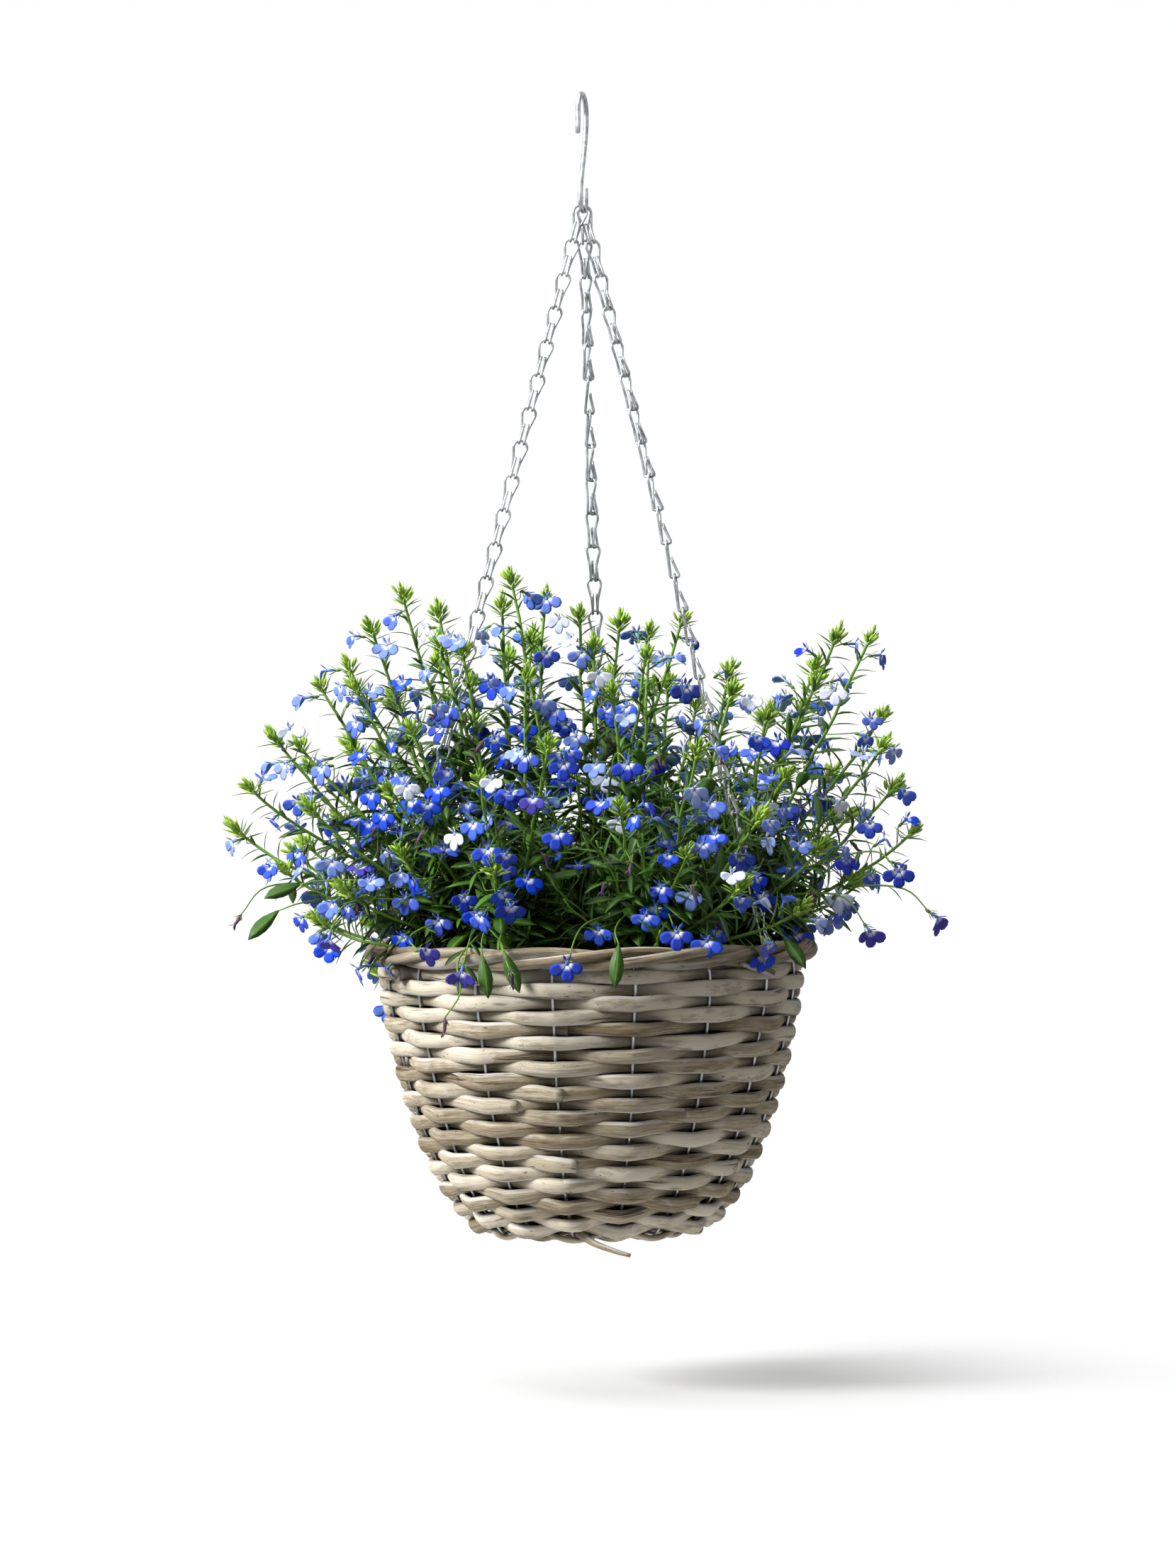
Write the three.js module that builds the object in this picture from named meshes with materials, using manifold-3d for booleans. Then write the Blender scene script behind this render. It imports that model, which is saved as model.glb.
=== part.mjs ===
// A lobelia hanging basket: a wire hook, three hairpin-link chains, a willow basket woven on a
// galvanised wire frame, a polythene liner, compost and six lobelia plants in flower.
// Millimetres, +Z up. The origin is the inside top of the hook's crook, where it hangs.

import * as THREE from 'three';
import { mergeVertices } from 'three/addons/utils/BufferGeometryUtils.js';
import Module from 'manifold-3d';

const wasm = await Module();
wasm.setup();

// ---- driving dimensions ----

const gap = 0.3;                     // clearance kept between neighbouring pieces

const hookWire = 3.3;                // wire diameter
const crookRadius = 13;              // centre line of the big crook
const crookTurn = 12;                // degrees the crook's plane is turned from the YZ plane
const crookTip = 14;                 // straight length past the crook's half circle
const eyeRadius = 6.6;               // centre line of the small eye that carries the chains
const eyeTurn = 16;                  // degrees the eye's plane is turned
const eyeReturn = 9;                 // straight length past the eye's half circle
const eyeBottom = -76.5;             // centre line of the wire at the bottom of the eye

const chainWire = 1.7;
const chainLinks = 22;
const linkLoop = 4.15;               // centre line radius of a link's round top
const linkWaist = 1.6;               // half the distance between its legs at the bottom
const linkDepth = 6;                 // how far the ends turn out
const linkTall = 13.6;               // how far they come back up
const linkBite = 0.85;               // distance between the centre lines of two fused links
const chains = [                     // azimuth at the rim, then link number and twist pairs
  { name: 'chain_back', azimuth: 86, side: 2.6, twist: [[0, 0], [5, 85], [11, 178], [21, 176]] },
  { name: 'chain_left', azimuth: 194, side: -2.8, twist: [[0, 0], [13, 4], [21, -76]] },
  { name: 'chain_right', azimuth: 329.5, side: 0, twist: [[0, 8], [9, 80], [12, 84], [21, 59]] },
];

const uprights = 16;
const uprightTurn = 12;              // azimuth of the first upright, degrees
const uprightWire = 2;
const hoopRadius = 135;
const hoopLevel = -566;
const hoopWire = 2.5;
const spokeLevel = -755.3;
const hubRadius = 22;

const rowCount = 23;                 // woven rows between the rim and the base
const rowThick = 4.4;                // willow rod, measured out from the wall
const rowSway = 4;                   // how far a rod passes outside or inside an upright
const rowStart = 2.6;                // of the first row, along the wall from its top
const rowSpace = 1;                  // left between one row and the next
const rowPitch = [8.75, 7.75];       // at the top and at the bottom

const rimRadius = 144;
const rimLevel = -570;
const rimRods = 3;
const rimRod = 6.3;
const rimTwist = 3.95;               // offset of each rod from the rope's centre line
const rimTurns = 5;

const linerInset = 8.2;              // from the uprights' centre line to the liner's outside
const linerWall = 0.8;
const linerTop = -574;
const linerFloor = -748.6;
const soilTop = -590;
const soilDome = 4;
const soilGap = 1;                   // the compost shrinks a little from the liner

const plantRadius = 78;              // where the outer plants stand, from the axis
const outerPlants = [                // azimuth, degrees between stems, how far each stem leans
  { azimuth: 140, fan: 30, reach: [110, 66, 140, 186, 84] },
  { azimuth: 227.9, fan: 19, reach: [168, 66, 150, 96, 140] },
  { azimuth: 295.6, fan: 19, reach: [118, 66, 148, 96, 136] },
  { azimuth: 358.6, fan: 17, reach: [128, 66, 162, 96, 148] },
  { azimuth: 56.9, fan: 17, reach: [118, 66, 146, 96, 120] },
];
const middleReach = [20, 36, 20, 36, 20];
const domeWide = 272;                // the foliage's outline, about the basket's axis
const domeTall = 250;
const stemWire = 3.2;
const leafSize = [24, 7, 1.2];
const leafPlaces = [0.45, 0.75];     // along a stem
const crownRadius = 9;               // the clump at a plant's foot
const budTip = [6, 6, 10];           // half sizes of the bud cluster that ends a stem
const flowerSize = 22;
const flowerAlong = 0.7;             // where a flower leaves its stem
const flowerOut = 15;                // and how far out, to the side and below it stands
const flowerAside = 7;
const flowerDrop = 16;

// the wall's line from under the rim down to the base: distance from the axis, height
const wall = new THREE.SplineCurve([
  [137.4, -579], [135, -606], [120.6, -668], [103, -714], [92, -733.5], [77, -750.5],
].map(([r, z]) => new THREE.Vector2(r, z)));

// ---- helpers ----

const radians = THREE.MathUtils.degToRad;
const at = (radius, azimuth, z) => new THREE.Vector3(
  radius * Math.cos(radians(azimuth)), radius * Math.sin(radians(azimuth)), z);

/** A route through every point given, in even steps of its parameter. */
class Route extends THREE.Curve {
  constructor(points) {
    super();
    this.points = points;
  }

  getPoint(t, target = new THREE.Vector3()) {
    const last = this.points.length - 1;
    const i = Math.min(Math.floor(t * last + 1e-9), last - 1);
    return target.lerpVectors(this.points[i], this.points[i + 1], t * last - i);
  }

  getTangent(t, target = new THREE.Vector3()) {
    const last = this.points.length - 1;
    const i = Math.round(t * last);
    target.set(0, 0, 0);
    for (const j of [Math.max(i - 1, 0), Math.min(i, last - 1)]) {
      target.add(this.points[j + 1].clone().sub(this.points[j]).normalize());
    }
    return target.normalize();
  }

  getUtoTmapping(u) {
    return u;
  }
}

function polygon(radius, sides) {
  const corners = Array.from({ length: sides }, (_, i) => {
    const turn = (i + 0.5) * 2 * Math.PI / sides;
    return new THREE.Vector2(radius * Math.cos(turn), radius * Math.sin(turn));
  });
  return new THREE.Shape(corners);
}

/** A round wire, rod or stem along a list of points. */
function rod(points, diameter, sides = 4) {
  return new THREE.ExtrudeGeometry(polygon(diameter / 2, sides), {
    steps: points.length - 1, extrudePath: new Route(points),
  });
}

/** A closed outline of [radius, z] pairs turned about the Z axis. */
function turned(outline, segments) {
  const points = [...outline, outline[0]].map(([r, z]) => new THREE.Vector2(r, z));
  return new THREE.LatheGeometry(points, segments).rotateX(Math.PI / 2);
}

function ring(radius, z, wire, segments) {
  const h = wire / 2;
  return turned([[radius - h, z], [radius, z - h], [radius + h, z], [radius, z + h]], segments);
}

/** The closed solid of one geometry, with its faces pointing out. */
function solid(geometry) {
  const bare = geometry.clone();
  bare.deleteAttribute('normal');
  bare.deleteAttribute('uv');
  const merged = mergeVertices(bare, 1e-3);
  const place = merged.attributes.position;
  const corners = [new THREE.Vector3(), new THREE.Vector3(), new THREE.Vector3()];
  const faces = [];
  let volume = 0;
  for (let i = 0; i < merged.index.count; i += 3) {
    const [a, b, c] = [0, 1, 2].map((k) => merged.index.getX(i + k));
    if (a === b || b === c || c === a) continue;
    [a, b, c].forEach((v, k) => corners[k].fromBufferAttribute(place, v));
    volume += corners[0].dot(corners[1].clone().cross(corners[2]));
    faces.push([a, b, c]);
  }
  const triVerts = Uint32Array.from(faces.flatMap((f) => (volume < 0 ? [f[0], f[2], f[1]] : f)));
  const vertProperties = Float32Array.from(place.array);
  return new wasm.Manifold(new wasm.Mesh({ numProp: 3, vertProperties, triVerts }));
}

function joined(geometries) {
  return geometries.map(solid).reduce((all, next) => all.add(next));
}

function geometryOf(shape) {
  const mesh = shape.getMesh();
  const geometry = new THREE.BufferGeometry();
  geometry.setAttribute('position', new THREE.BufferAttribute(mesh.vertProperties, 3));
  geometry.setIndex(new THREE.BufferAttribute(mesh.triVerts, 1));
  return geometry;
}

function piece(name, shape, material) {
  const mesh = new THREE.Mesh(geometryOf(shape), material.clone());
  mesh.name = name;
  return mesh;
}

const finish = (color, roughness, metalness = 0) => new THREE.MeshStandardMaterial({
  color, roughness, metalness,
});
const galvanised = finish(0x9a9da0, 0.4, 0.9);
const willow = finish(0xc3b495, 0.75);
const rimWillow = finish(0xa99878, 0.75);
const polythene = finish(0x15171c, 0.35);
const compost = finish(0x2c2119, 0.95);
const foliage = finish(0x4e7a2c, 0.55);
const petals = finish(0x4a55c8, 0.6);

// ---- hook ----

function halfCircle(centre, across, radius, from, to, steps) {
  return Array.from({ length: steps + 1 }, (_, i) => {
    const turn = radians(from + (to - from) * i / steps);
    return centre.clone().addScaledVector(across, radius * Math.cos(turn))
      .add(new THREE.Vector3(0, 0, radius * Math.sin(turn)));
  });
}

function hook() {
  const crookWay = at(1, -90 - crookTurn, 0);          // towards the free tip
  const eyeWay = at(1, 90 - eyeTurn, 0);               // towards the eye's returned end
  const crookCentre = new THREE.Vector3(0, 0, hookWire / 2 - crookRadius);
  const eyeCentre = new THREE.Vector3(0, 0, eyeBottom + eyeRadius);
  const crook = halfCircle(crookCentre, crookWay, crookRadius, 0, 180, 10);
  const eye = halfCircle(eyeCentre, eyeWay, eyeRadius, -180, 0, 6);
  const tip = crook[0].clone().addScaledVector(crookWay, 1.5).setZ(crook[0].z - crookTip);
  const shank = new THREE.CubicBezierCurve3(
    crook[10].clone().setZ(crook[10].z - 1), crook[10].clone().setZ(crook[10].z - 20),
    eye[0].clone().setZ(eye[0].z + 18), eye[0].clone().setZ(eye[0].z + 1)).getPoints(5);
  const end = eye[6].clone().setZ(eye[6].z + eyeReturn);
  return solid(rod([tip, ...crook, ...shank, ...eye, end], hookWire, 6));
}

// ---- chains ----

/** One hairpin link, hanging down from its apex at the origin, ends turned out towards +Y. */
function link(pitch) {
  const bottom = -(pitch + linkBite);
  const loopTop = [1, -1].map((side) => new THREE.Vector3(side * linkLoop * 0.7, 0, 0));
  const half = [
    new THREE.Vector3(linkWaist, 2.3, bottom + linkTall),
    new THREE.Vector3(linkWaist, linkDepth, bottom + 0.5),
    new THREE.Vector3(linkWaist, 0, bottom),
    new THREE.Vector3(linkLoop, 0, -linkLoop),
  ];
  const other = half.map((p) => p.clone().setX(-p.x)).reverse();
  const lean = Math.atan(linkDepth / 2 / pitch);       // brings the next link under the apex
  return rod([...half, ...loopTop, ...other], chainWire, 3).rotateX(-lean);
}

function twistAt(pairs, index) {
  const next = Math.max(1, pairs.findIndex(([n]) => n >= index));
  const [[n0, a0], [n1, a1]] = [pairs[next - 1], pairs[next]];
  return a0 + (a1 - a0) * (index - n0) / (n1 - n0);
}

function chain({ azimuth, side, twist }) {
  const eyeWay = at(1, 90 - eyeTurn, 0);
  const apex = eyeBottom + (hookWire + chainWire) / 2 + gap + Math.abs(side) * 0.1;
  const top = eyeWay.multiplyScalar(side).setZ(apex + eyeRadius - Math.sqrt(eyeRadius ** 2 - side ** 2));
  const hung = at(hoopRadius, azimuth, hoopLevel - hoopWire / 2 - chainWire / 2 - gap + linkBite);
  const run = hung.clone().sub(top);
  const pitch = run.length() / chainLinks;
  const down = run.clone().normalize();
  const links = Array.from({ length: chainLinks }, (_, i) => {
    const faceOn = new THREE.Vector3(0, -1, 0).addScaledVector(down, down.y).normalize();
    const out = faceOn.applyAxisAngle(down, -radians(twistAt(twist, i)));
    const up = down.clone().negate();
    const turn = new THREE.Matrix4().makeBasis(out.clone().cross(up), out, up);
    turn.setPosition(top.clone().addScaledVector(down, i * pitch));
    return link(pitch).applyMatrix4(turn);
  });
  return joined(links);
}

// ---- wire frame ----

function wireFrame() {
  const fall = wall.getSpacedPoints(8).map(({ x, y }) => [x, y]);
  const line = [[hoopRadius, hoopLevel], [hoopRadius - 0.2, -573], ...fall,
    [74.5, spokeLevel + 1], [71, spokeLevel], [hubRadius, spokeLevel]];
  const bars = Array.from({ length: uprights }, (_, i) => {
    const azimuth = uprightTurn + i * 360 / uprights;
    return rod(line.map(([r, z]) => at(r, azimuth, z)), uprightWire, 3);
  });
  return joined([
    ring(hoopRadius, hoopLevel, hoopWire, 32),
    ring(hubRadius, spokeLevel, uprightWire, 16),
    ...bars,
  ]);
}

// ---- willow ----

/** One woven row: outside one upright and inside the next, all the way round. */
function wovenRow(index, along, height) {
  const spot = wall.getPointAt(along / wall.getLength());
  const down = wall.getTangentAt(along / wall.getLength());
  const out = new THREE.Vector2(-down.y, down.x);
  const [h, t] = [height / 2, rowThick / 2];
  const section = [[-h, 0], [0, -1], [h, 0], [0, 1]];
  const outline = section.map(([a, b]) => [
    spot.x + down.x * a + out.x * b * t, spot.y + down.y * a + out.y * b * t]);
  const shape = turned(outline, uprights);
  const place = shape.attributes.position;
  for (let i = 0; i < place.count; i += 1) {
    const [x, y, z] = [place.getX(i), place.getY(i), place.getZ(i)];
    const turn = Math.atan2(y, x);
    const sway = rowSway * Math.cos(turn * uprights / 2) * (index % 2 ? -1 : 1);
    const radius = Math.hypot(x, y) + sway * out.x;
    place.setXYZ(i, radius * Math.cos(turn), radius * Math.sin(turn), z + sway * out.y);
  }
  return solid(shape.rotateZ(radians(uprightTurn)));
}

function wovenRows() {
  let along = rowStart;
  return Array.from({ length: rowCount }, (_, i) => {
    const pitch = THREE.MathUtils.lerp(...rowPitch, i / (rowCount - 1));
    const row = wovenRow(i, along, pitch - rowSpace);
    along += pitch;
    return row;
  });
}

/** One of the twisted rods of the rim, once round, with its ends butted. */
function rimStrand(index) {
  const steps = 36;
  const points = Array.from({ length: steps + 1 }, (_, i) => {
    const azimuth = 40 + index * 118 + (i / steps) * 359.3;
    const twist = radians(azimuth * rimTurns + index * 360 / rimRods);
    return at(rimRadius + rimTwist * Math.cos(twist), azimuth,
      rimLevel + rimTwist * Math.sin(twist));
  });
  return solid(rod(points, rimRod, 5));
}

function wovenBase() {
  const [low, high] = [spokeLevel + uprightWire / 2 + gap, -749.6];
  return solid(turned([[0, low], [68, low], [70.6, low + 1.6], [69, high], [0, high]], 24));
}

// ---- liner and compost ----

/** The wall's line moved inwards, from a top level down to the rounded bottom corner. */
function insideLine(inset, top) {
  const line = wall.getSpacedPoints(5).slice(0, -1).map(({ x, y }) => [x - inset, y]);
  const [[r0, z0], [r1, z1]] = line;
  line[0] = [r0 + (r1 - r0) * (top - z0) / (z1 - z0), top];
  return [...line, [75.5 - inset, linerFloor + 5.5 + inset - linerInset]];
}

function liner() {
  const outside = insideLine(linerInset, linerTop);
  const inside = insideLine(linerInset + linerWall, linerTop);
  const high = linerFloor + linerWall;
  return solid(turned([[0, linerFloor], [60, linerFloor], ...outside.reverse(), ...inside,
    [59, high], [0, high]], 20));
}

function soil() {
  const side = insideLine(linerInset + linerWall + soilGap, soilTop);
  const floor = linerFloor + linerWall + gap;
  return solid(turned([[0, soilTop + soilDome], [side[0][0] - 6, soilTop], ...side,
    [57, floor], [0, floor]], 20));
}

// ---- plants ----

/** Where the foliage's outline stands above the rim, at a distance from the axis. */
const domeAt = (radius) => -566 + domeTall * Math.sqrt(Math.max(0, 1 - (radius / domeWide) ** 2));

function stemLine(foot, fan, reach) {
  const tip = foot.clone().add(at(reach, fan, 0));
  tip.z = domeAt(Math.hypot(tip.x, tip.y));
  const bend = foot.clone().lerp(tip, 0.35).setZ(foot.z + (tip.z - foot.z) * 0.6);
  return new THREE.QuadraticBezierCurve3(foot, bend, tip);
}

function leafAt(line, along, turn) {
  const [long, wide, thick] = leafSize;
  const leaf = new THREE.OctahedronGeometry(1).scale(long / 2, wide / 2, thick)
    .translate(long / 2 - 0.8, 0, 0).rotateY(-0.5).rotateZ(turn);
  return leaf.translate(...line.getPoint(along).toArray());
}

function outerStems({ azimuth, fan, reach }) {
  const crown = at(plantRadius, azimuth, soilTop + 9);
  return reach.map((r, j) => stemLine(crown.clone().add(at(3, azimuth + (j - 2) * 30, 0)),
    azimuth + (j - 2) * fan, r));
}

function middleStems() {
  return middleReach.map((r, j) => stemLine(at(4, 20 + j * 72, soilTop + 11), 20 + j * 72, r));
}

function plant(lines) {
  const crown = new THREE.SphereGeometry(crownRadius, 8, 4).scale(1, 1, 0.6);
  const foot = lines.reduce((sum, l) => sum.add(l.v0), new THREE.Vector3()).divideScalar(lines.length);
  const parts = [crown.translate(foot.x, foot.y, foot.z)];
  lines.forEach((line, j) => {
    parts.push(rod(line.getPoints(5), stemWire, 3));
    leafPlaces.forEach((along, n) => parts.push(leafAt(line, along, j * 2 + n * 2.4)));
    const tuft = new THREE.OctahedronGeometry(1).scale(...budTip);
    parts.push(tuft.translate(line.v2.x, line.v2.y, line.v2.z - budTip[2] + 0.5));
  });
  return joined(parts);
}

/** A five-lobed flower facing +Z, three broad lobes below and two narrow ones above. */
function flowerSolid() {
  const lobes = [[-90, 1], [-158, 0.95], [-22, 0.95], [68, 0.62], [112, 0.62]];
  const outline = lobes.sort((a, b) => a[0] - b[0]).flatMap(([turn, long]) => {
    const r = flowerSize / 2;
    return [[turn - 20, r * 0.3], [turn - 14, r * long], [turn + 14, r * long]]
      .map(([a, d]) => new THREE.Vector2(d * Math.cos(radians(a)), d * Math.sin(radians(a))));
  });
  const face = new THREE.ExtrudeGeometry(new THREE.Shape(outline), {
    depth: 1, bevelEnabled: false,
  });
  const tube = new THREE.CylinderGeometry(2, 1.2, 9, 5).rotateX(Math.PI / 2).translate(0, 0, -4);
  return joined([face, tube]);
}

function flowers() {
  const shape = geometryOf(flowerSolid());
  return outerPlants.map(outerStems).flatMap((stems, p) => [1, 2, 4].map((j, n) => {
    const line = stems[j];
    const mesh = new THREE.Mesh(shape, petals.clone());
    mesh.name = `flower_${p * 3 + n + 1}`;
    const [spot, way] = [line.getPoint(flowerAlong), line.getTangent(flowerAlong)];
    const out = new THREE.Vector3(way.x, way.y, 0).normalize();
    const side = new THREE.Vector3(-out.y, out.x, 0).multiplyScalar(n % 2 ? flowerAside : -flowerAside);
    const drop = new THREE.Vector3(0, 0, -flowerDrop);
    mesh.position.copy(spot).addScaledVector(out, flowerOut).add(side).add(drop);
    mesh.up.set(0, 0, 1);
    mesh.lookAt(mesh.position.clone().add(out).add(new THREE.Vector3(0, 0, 0.3)));
    return mesh;
  }));
}

// ---- the object ----

const basket = new THREE.Group();
basket.add(piece('hook', hook(), galvanised));
chains.forEach((c) => basket.add(piece(c.name, chain(c), galvanised)));
basket.add(piece('wire_frame', wireFrame(), galvanised));
wovenRows().forEach((row, i) => basket.add(piece(`woven_row_${i + 1}`, row, willow)));
for (let i = 0; i < rimRods; i += 1) basket.add(piece(`rim_rod_${i + 1}`, rimStrand(i), rimWillow));
basket.add(piece('woven_base', wovenBase(), willow));
basket.add(piece('liner', liner(), polythene));
basket.add(piece('compost', soil(), compost));
[...outerPlants.map(outerStems), middleStems()].forEach((lines, i) => {
  basket.add(piece(`plant_${i + 1}`, plant(lines), foliage));
});
basket.add(...flowers());

export default basket;
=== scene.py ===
import math
import random

import bpy
import numpy as np
from mathutils import Matrix, Vector, noise


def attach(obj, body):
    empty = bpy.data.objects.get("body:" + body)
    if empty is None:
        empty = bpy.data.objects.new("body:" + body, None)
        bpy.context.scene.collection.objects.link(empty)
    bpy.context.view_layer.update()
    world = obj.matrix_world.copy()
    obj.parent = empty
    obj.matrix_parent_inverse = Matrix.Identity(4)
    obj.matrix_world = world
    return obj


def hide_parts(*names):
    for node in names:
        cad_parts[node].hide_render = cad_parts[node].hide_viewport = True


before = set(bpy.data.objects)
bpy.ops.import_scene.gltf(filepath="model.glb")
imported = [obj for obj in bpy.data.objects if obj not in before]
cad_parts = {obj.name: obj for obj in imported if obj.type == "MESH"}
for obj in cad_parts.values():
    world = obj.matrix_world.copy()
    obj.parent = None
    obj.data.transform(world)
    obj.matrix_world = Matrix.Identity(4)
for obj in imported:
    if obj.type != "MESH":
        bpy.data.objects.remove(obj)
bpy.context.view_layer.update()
bpy.ops.object.select_all(action="DESELECT")
mm = 0.001


# shader maths and finishes

class Signal:
    # a shader socket that can be added, multiplied and so on
    def __init__(self, finish, socket):
        self.finish, self.socket = finish, socket

    def maths(self, operation, first, second):
        return self.finish.node("ShaderNodeMath", {"operation": operation}, {0: first, 1: second})

    def __add__(self, other):
        return self.maths("ADD", self, other)

    __radd__ = __add__

    def __sub__(self, other):
        return self.maths("SUBTRACT", self, other)

    def __rsub__(self, other):
        return self.maths("SUBTRACT", other, self)

    def __mul__(self, other):
        return self.maths("MULTIPLY", self, other)

    __rmul__ = __mul__

    def higher(self, other):
        return self.maths("MAXIMUM", self, other)

    def clear(self, low, high):
        # 0 below low, 1 above high
        return self.finish.node("ShaderNodeMapRange", {"interpolation_type": "SMOOTHSTEP"},
                                {"Value": self, "From Min": low, "From Max": high})


class Finish:
    # one node material, built around a Principled shader
    def __init__(self, name, **constants):
        self.material = bpy.data.materials.new(name)
        self.material.use_nodes = True
        self.tree = self.material.node_tree
        self.shader = self.tree.nodes["Principled BSDF"]
        for socket, value in constants.items():
            self.shader.inputs[socket.replace("_", " ")].default_value = value

    def node(self, kind, settings=None, values=None, output=0):
        made = self.tree.nodes.new(kind)
        for name, value in (settings or {}).items():
            setattr(made, name, value)
        for name, value in (values or {}).items():
            socket = made.inputs[name]
            if isinstance(value, Signal):
                self.tree.links.new(value.socket, socket)
            else:
                socket.default_value = value
        return Signal(self, made.outputs[output])

    def mark(self, name, output="Fac"):
        return self.node("ShaderNodeAttribute", {"attribute_name": name}, output=output)

    def place(self, *scale):
        spot = self.node("ShaderNodeTexCoord", output="Object")
        return self.scaled(spot, *scale)

    def scaled(self, spot, *scale):
        return self.node("ShaderNodeVectorMath", {"operation": "MULTIPLY"}, {0: spot, 1: scale})

    def speckle(self, spot, detail=4, rough=0.55):
        return self.node("ShaderNodeTexNoise", {}, {"Vector": spot, "Scale": 1, "Detail": detail,
                                                   "Roughness": rough})

    def mix(self, factor, first, second):
        # a colour may be given as its code
        first, second = [hexColour(c) if isinstance(c, str) else c for c in (first, second)]
        return self.node("ShaderNodeMix", {"data_type": "RGBA"}, {0: factor, 6: first, 7: second},
                         output=2)

    def bump(self, height, strength, distance):
        return self.node("ShaderNodeBump", {}, {"Height": height, "Strength": strength,
                                               "Distance": distance})

    def feed(self, **links):
        for name, signal in links.items():
            self.tree.links.new(signal.socket, self.shader.inputs[name.replace("_", " ")])
        return self.material


def hexColour(code):
    parts = [int(code[i:i + 2], 16) / 255 for i in (0, 2, 4)]
    linear = [c / 12.92 if c <= 0.04045 else ((c + 0.055) / 1.055) ** 2.4 for c in parts]
    return (*linear, 1)


wireColours = {"bright": "c9ccce", "dull": "8d9193", "pitted": "6c7072"}


def wireFinish(name, shade):
    f = Finish(name, Metallic=0.9)
    spangle = f.speckle(f.place(220, 220, 140), 5)
    blotch = f.speckle(f.place(40, 40, 30), 3)
    colour = f.mix(spangle.clear(0.35, 0.7), shade["dull"], shade["bright"])
    colour = f.mix(blotch.clear(0.58, 0.75) * 0.6, colour, shade["pitted"])
    rough = spangle * 0.25 + 0.22
    return f.feed(Base_Color=colour, Roughness=rough,
                  Normal=f.bump(spangle, 0.25, 0.0004))


# the crack colour also paints the shade at the rods' top and bottom edges and where they pass behind
# the wire
willowColours = {"wash": "e6dcc8", "wood": "b4a485", "brown": "6e5c42", "crack": "2c2219",
                 "lime": "e9e6df"}
rimColours = {"wash": "c6bba7", "wood": "9b8c71", "brown": "6a5a43", "crack": "33291e",
              "lime": "e4e0d8"}
cutColours = {"wash": "c9c2b4", "wood": "9a917f", "brown": "5d564b", "crack": "38332c",
              "lime": "dedbd4"}


def willowFinish(name, shade):
    f = Finish(name, Specular_IOR_Level=0.3)
    spot = f.mark("rodPlace", "Vector")
    tone = f.mark("tone")
    grain = f.speckle(f.scaled(spot, 55, 1100, 1100), 6, 0.65)
    streak = f.speckle(f.scaled(spot, 11, 210, 210), 4, 0.6)
    cloud = f.speckle(f.scaled(spot, 9, 45, 45), 3)
    pits = f.speckle(f.scaled(spot, 240, 520, 520), 3, 0.5)
    knots = f.node("ShaderNodeTexVoronoi", {"feature": "F1"},
                   {"Vector": f.scaled(spot, 17, 70, 70), "Scale": 1})
    blotch = f.speckle(f.scaled(spot, 42, 160, 160), 5, 0.65)
    worn = (streak * 0.9 + cloud * 0.7 + tone * 0.4 - 0.50).clear(0.22, 0.78)
    colour = f.mix(worn, shade["wash"], shade["wood"])
    colour = f.mix((grain * 0.7 + tone * 0.35).clear(0.45, 0.75) * 0.8, colour, shade["brown"])
    colour = f.mix(blotch.clear(0.5, 0.66) * 0.5, colour, shade["brown"])
    colour = f.mix((1 - blotch.clear(0.28, 0.4)) * 0.4, colour, shade["lime"])
    # painted shade: each rod is darkened with the crack colour towards its top and bottom edges, where
    # it meets the next row
    edge = f.mark("edge")
    colour = f.mix(edge.clear(0.75, 1.0) * 0.5, colour, shade["crack"])
    colour = f.mix(edge.clear(0.6, 0.8) * cloud.clear(0.42, 0.6) * 0.7, colour, shade["lime"])
    crack = streak.clear(0.60, 0.68) * grain.clear(0.38, 0.52)
    dots = pits.clear(0.68, 0.74)
    scar = 1 - knots.clear(0.05, 0.13)
    dark = (crack * 0.9).higher(dots * 0.7).higher(scar * 0.6)
    colour = f.mix(dark, colour, shade["crack"])
    paintedShadeMark = f.mark("deep")                 # painted shade, 1 where a rod dives behind an upright
    colour = f.mix(paintedShadeMark * 0.55, colour, shade["crack"])
    height = grain * 0.5 + streak * 0.8 - dark * 0.7
    return f.feed(Base_Color=colour, Roughness=0.62 + grain * 0.28,
                  Normal=f.bump(height, 0.55, 0.0011))


def polytheneFinish():
    f = Finish("blackPolythene", Coat_Weight=0.15)
    fold = f.speckle(f.place(60, 60, 22), 4)
    colour = f.mix(fold.clear(0.4, 0.7), "0c0d11", "24272f")
    return f.feed(Base_Color=colour, Roughness=0.28 + fold * 0.2,
                  Normal=f.bump(fold, 0.5, 0.003))


def compostFinish():
    f = Finish("compost", Specular_IOR_Level=0.2)
    crumb = f.speckle(f.place(420, 420, 420), 6, 0.65)
    fibre = f.speckle(f.place(90, 700, 300), 4)
    colour = f.mix(crumb.clear(0.35, 0.7), "17100b", "4a382a")
    colour = f.mix(fibre.clear(0.66, 0.74) * 0.7, colour, "7a6248")
    return f.feed(Base_Color=colour, Roughness=0.8 + crumb * 0.15,
                  Normal=f.bump(crumb, 0.8, 0.002))


stemColours = {"low": "42611c", "high": "709c2c", "rib": "93bc44", "flush": "4f3a3c"}


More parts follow.
